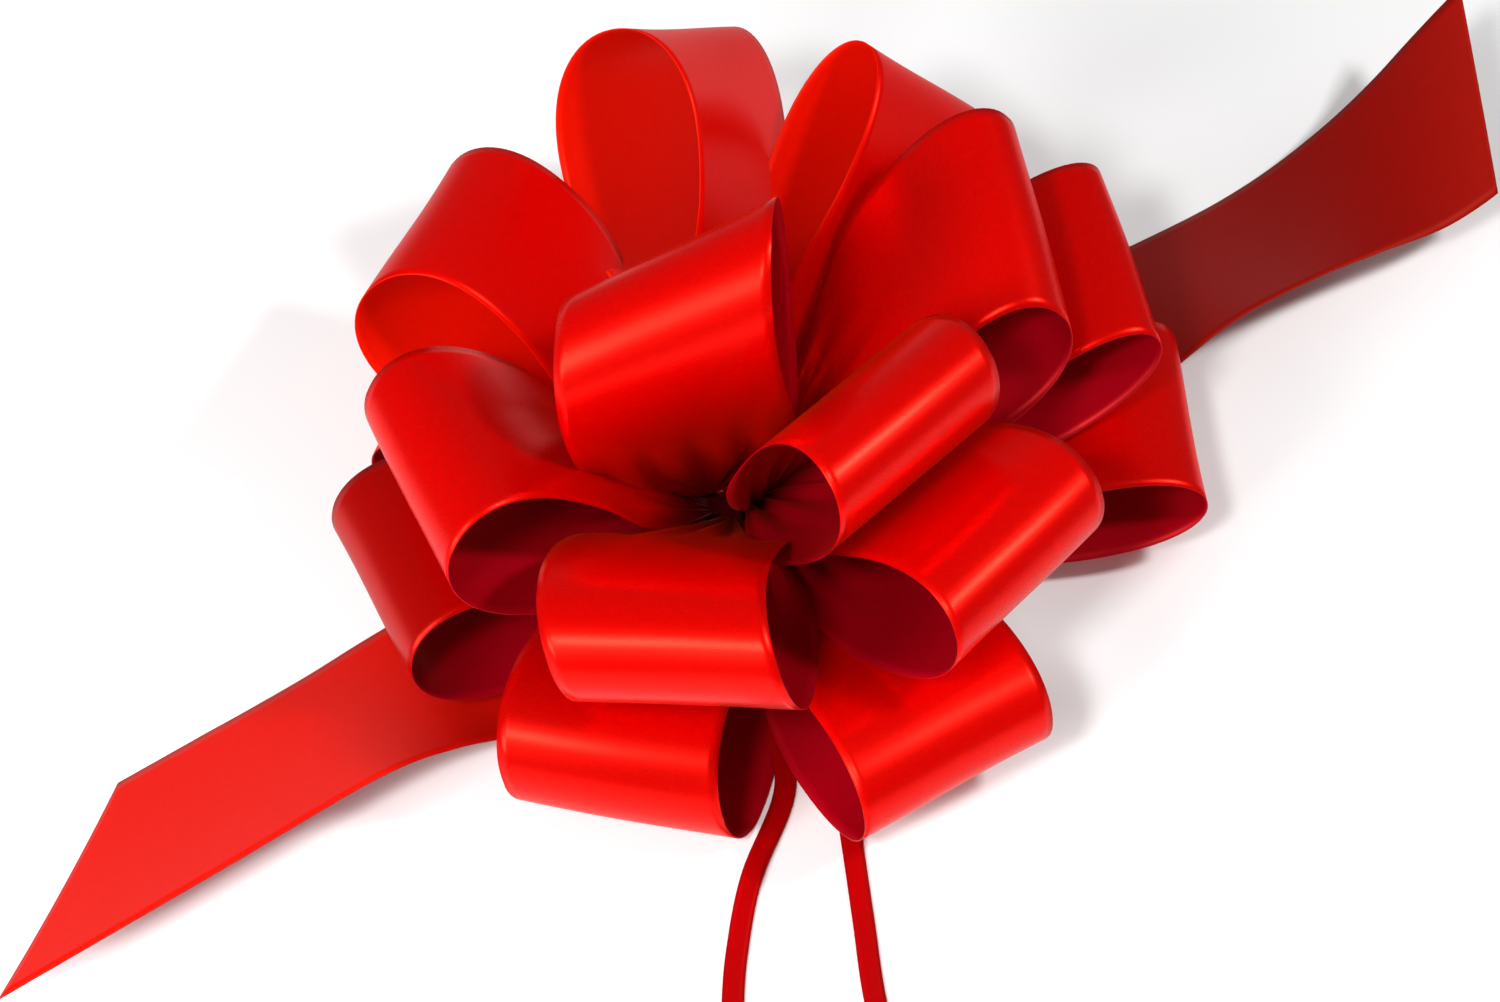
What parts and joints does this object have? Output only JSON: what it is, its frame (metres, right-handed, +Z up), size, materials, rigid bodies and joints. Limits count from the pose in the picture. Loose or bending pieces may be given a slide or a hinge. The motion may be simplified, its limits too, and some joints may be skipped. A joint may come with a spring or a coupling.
{
  "type": "gift pull bow",
  "caption": "Gathered ribbon gift bow: tiers of teardrop loops threaded on two narrow pull strings, with two wide ribbon tails.",
  "frame": {"origin": "middle of the flat underside of the gathered base, where the bow sits on the present", "axes": "+Z up out of the bow, +X along the right-hand ribbon tail, so the two tails lie along X"},
  "size_m": [0.4412, 0.3122, 0.1103],
  "materials": {
    "ribbon": "red satin polypropylene ribbon with a soft sheen and fine lengthwise grain",
    "pull_string": "narrow red satin ribbon, slightly darker",
    "weld": "welded, pleated red ribbon"
  },
  "bodies": {
    "core": {"base_weld": "weld", "string_core": "pull_string", "top_anchor": "weld"},
    "low_loop_1": {"low_loop_1": "ribbon"},
    "low_loop_2": {"low_loop_2": "ribbon"},
    "low_loop_3": {"low_loop_3": "ribbon"},
    "low_loop_4": {"low_loop_4": "ribbon"},
    "low_loop_5": {"low_loop_5": "ribbon"},
    "low_loop_6": {"low_loop_6": "ribbon"},
    "low_loop_7": {"low_loop_7": "ribbon"},
    "low_loop_8": {"low_loop_8": "ribbon"},
    "middle_loop_1": {"middle_loop_1": "ribbon"},
    "middle_loop_2": {"middle_loop_2": "ribbon"},
    "middle_loop_3": {"middle_loop_3": "ribbon"},
    "middle_loop_4": {"middle_loop_4": "ribbon"},
    "middle_loop_5": {"middle_loop_5": "ribbon"},
    "middle_loop_6": {"middle_loop_6": "ribbon"},
    "top_loop_1": {"top_loop_1": "ribbon"},
    "top_loop_2": {"top_loop_2": "ribbon"},
    "tail_left": {"tail_left": "ribbon"},
    "tail_right": {"tail_right": "ribbon"},
    "pull_string_a": {"pull_string_a": "pull_string"},
    "pull_string_b": {"pull_string_b": "pull_string"}
  },
  "joints": [
    {"name": "low_loop_1_fan", "type": "hinge", "parent": "core", "child": "low_loop_1", "pos_m": [0, 0, 0.01], "axis": [0, 0, 1], "range_deg": [-3, 3]},
    {"name": "low_loop_2_fan", "type": "hinge", "parent": "core", "child": "low_loop_2", "pos_m": [0, 0, 0.01], "axis": [0, 0, 1], "range_deg": [-3, 3]},
    {"name": "low_loop_3_fan", "type": "hinge", "parent": "core", "child": "low_loop_3", "pos_m": [0, 0, 0.01], "axis": [0, 0, 1], "range_deg": [-3, 3]},
    {"name": "low_loop_4_fan", "type": "hinge", "parent": "core", "child": "low_loop_4", "pos_m": [0, 0, 0.01], "axis": [0, 0, 1], "range_deg": [-3, 1]},
    {"name": "low_loop_5_fan", "type": "hinge", "parent": "core", "child": "low_loop_5", "pos_m": [0, 0, 0.01], "axis": [0, 0, 1], "range_deg": [-1, 2]},
    {"name": "low_loop_6_fan", "type": "hinge", "parent": "core", "child": "low_loop_6", "pos_m": [0, 0, 0.01], "axis": [0, 0, 1], "range_deg": [-2, 2]},
    {"name": "low_loop_7_fan", "type": "hinge", "parent": "core", "child": "low_loop_7", "pos_m": [0, 0, 0.01], "axis": [0, 0, 1], "range_deg": [-2, 2]},
    {"name": "low_loop_8_fan", "type": "hinge", "parent": "core", "child": "low_loop_8", "pos_m": [0, 0, 0.01], "axis": [0, 0, 1], "range_deg": [-3, 3]},
    {"name": "middle_loop_1_fan", "type": "hinge", "parent": "core", "child": "middle_loop_1", "pos_m": [0, 0, 0.01], "axis": [0, 0, 1], "range_deg": [-4, 4]},
    {"name": "middle_loop_2_fan", "type": "hinge", "parent": "core", "child": "middle_loop_2", "pos_m": [0, 0, 0.01], "axis": [0, 0, 1], "range_deg": [-3, 3]},
    {"name": "middle_loop_3_fan", "type": "hinge", "parent": "core", "child": "middle_loop_3", "pos_m": [0, 0, 0.01], "axis": [0, 0, 1], "range_deg": [-4, 4]},
    {"name": "middle_loop_4_fan", "type": "hinge", "parent": "core", "child": "middle_loop_4", "pos_m": [0, 0, 0.01], "axis": [0, 0, 1], "range_deg": [-4, 3]},
    {"name": "middle_loop_5_fan", "type": "hinge", "parent": "core", "child": "middle_loop_5", "pos_m": [0, 0, 0.01], "axis": [0, 0, 1], "range_deg": [-2, 2]},
    {"name": "middle_loop_6_fan", "type": "hinge", "parent": "core", "child": "middle_loop_6", "pos_m": [0, 0, 0.01], "axis": [0, 0, 1], "range_deg": [-3, 3]},
    {"name": "top_loop_1_fan", "type": "hinge", "parent": "core", "child": "top_loop_1", "pos_m": [0, 0, 0.01], "axis": [0, 0, 1], "range_deg": [-4, 4]},
    {"name": "top_loop_2_fan", "type": "hinge", "parent": "core", "child": "top_loop_2", "pos_m": [0, 0, 0.01], "axis": [0, 0, 1], "range_deg": [-4, 4]},
    {"name": "tail_left_swing", "type": "hinge", "parent": "core", "child": "tail_left", "pos_m": [0, 0, 0.003], "axis": [0, 0, 1], "range_deg": [-8, 2]},
    {"name": "tail_right_swing", "type": "hinge", "parent": "core", "child": "tail_right", "pos_m": [0, 0, 0.004], "axis": [0, 0, 1], "range_deg": [-5, 5]},
    {"name": "string_a_pull", "type": "slide", "parent": "core", "child": "pull_string_a", "axis": [-0.342, -0.9397, 0], "range_m": [0, 0.006]},
    {"name": "string_b_pull", "type": "slide", "parent": "core", "child": "pull_string_b", "axis": [-0.342, -0.9397, 0], "range_m": [0, 0.006]}
  ],
  "couplings": [
    {"joint": "string_b_pull", "follows": "string_a_pull", "ratio": 1}
  ]
}
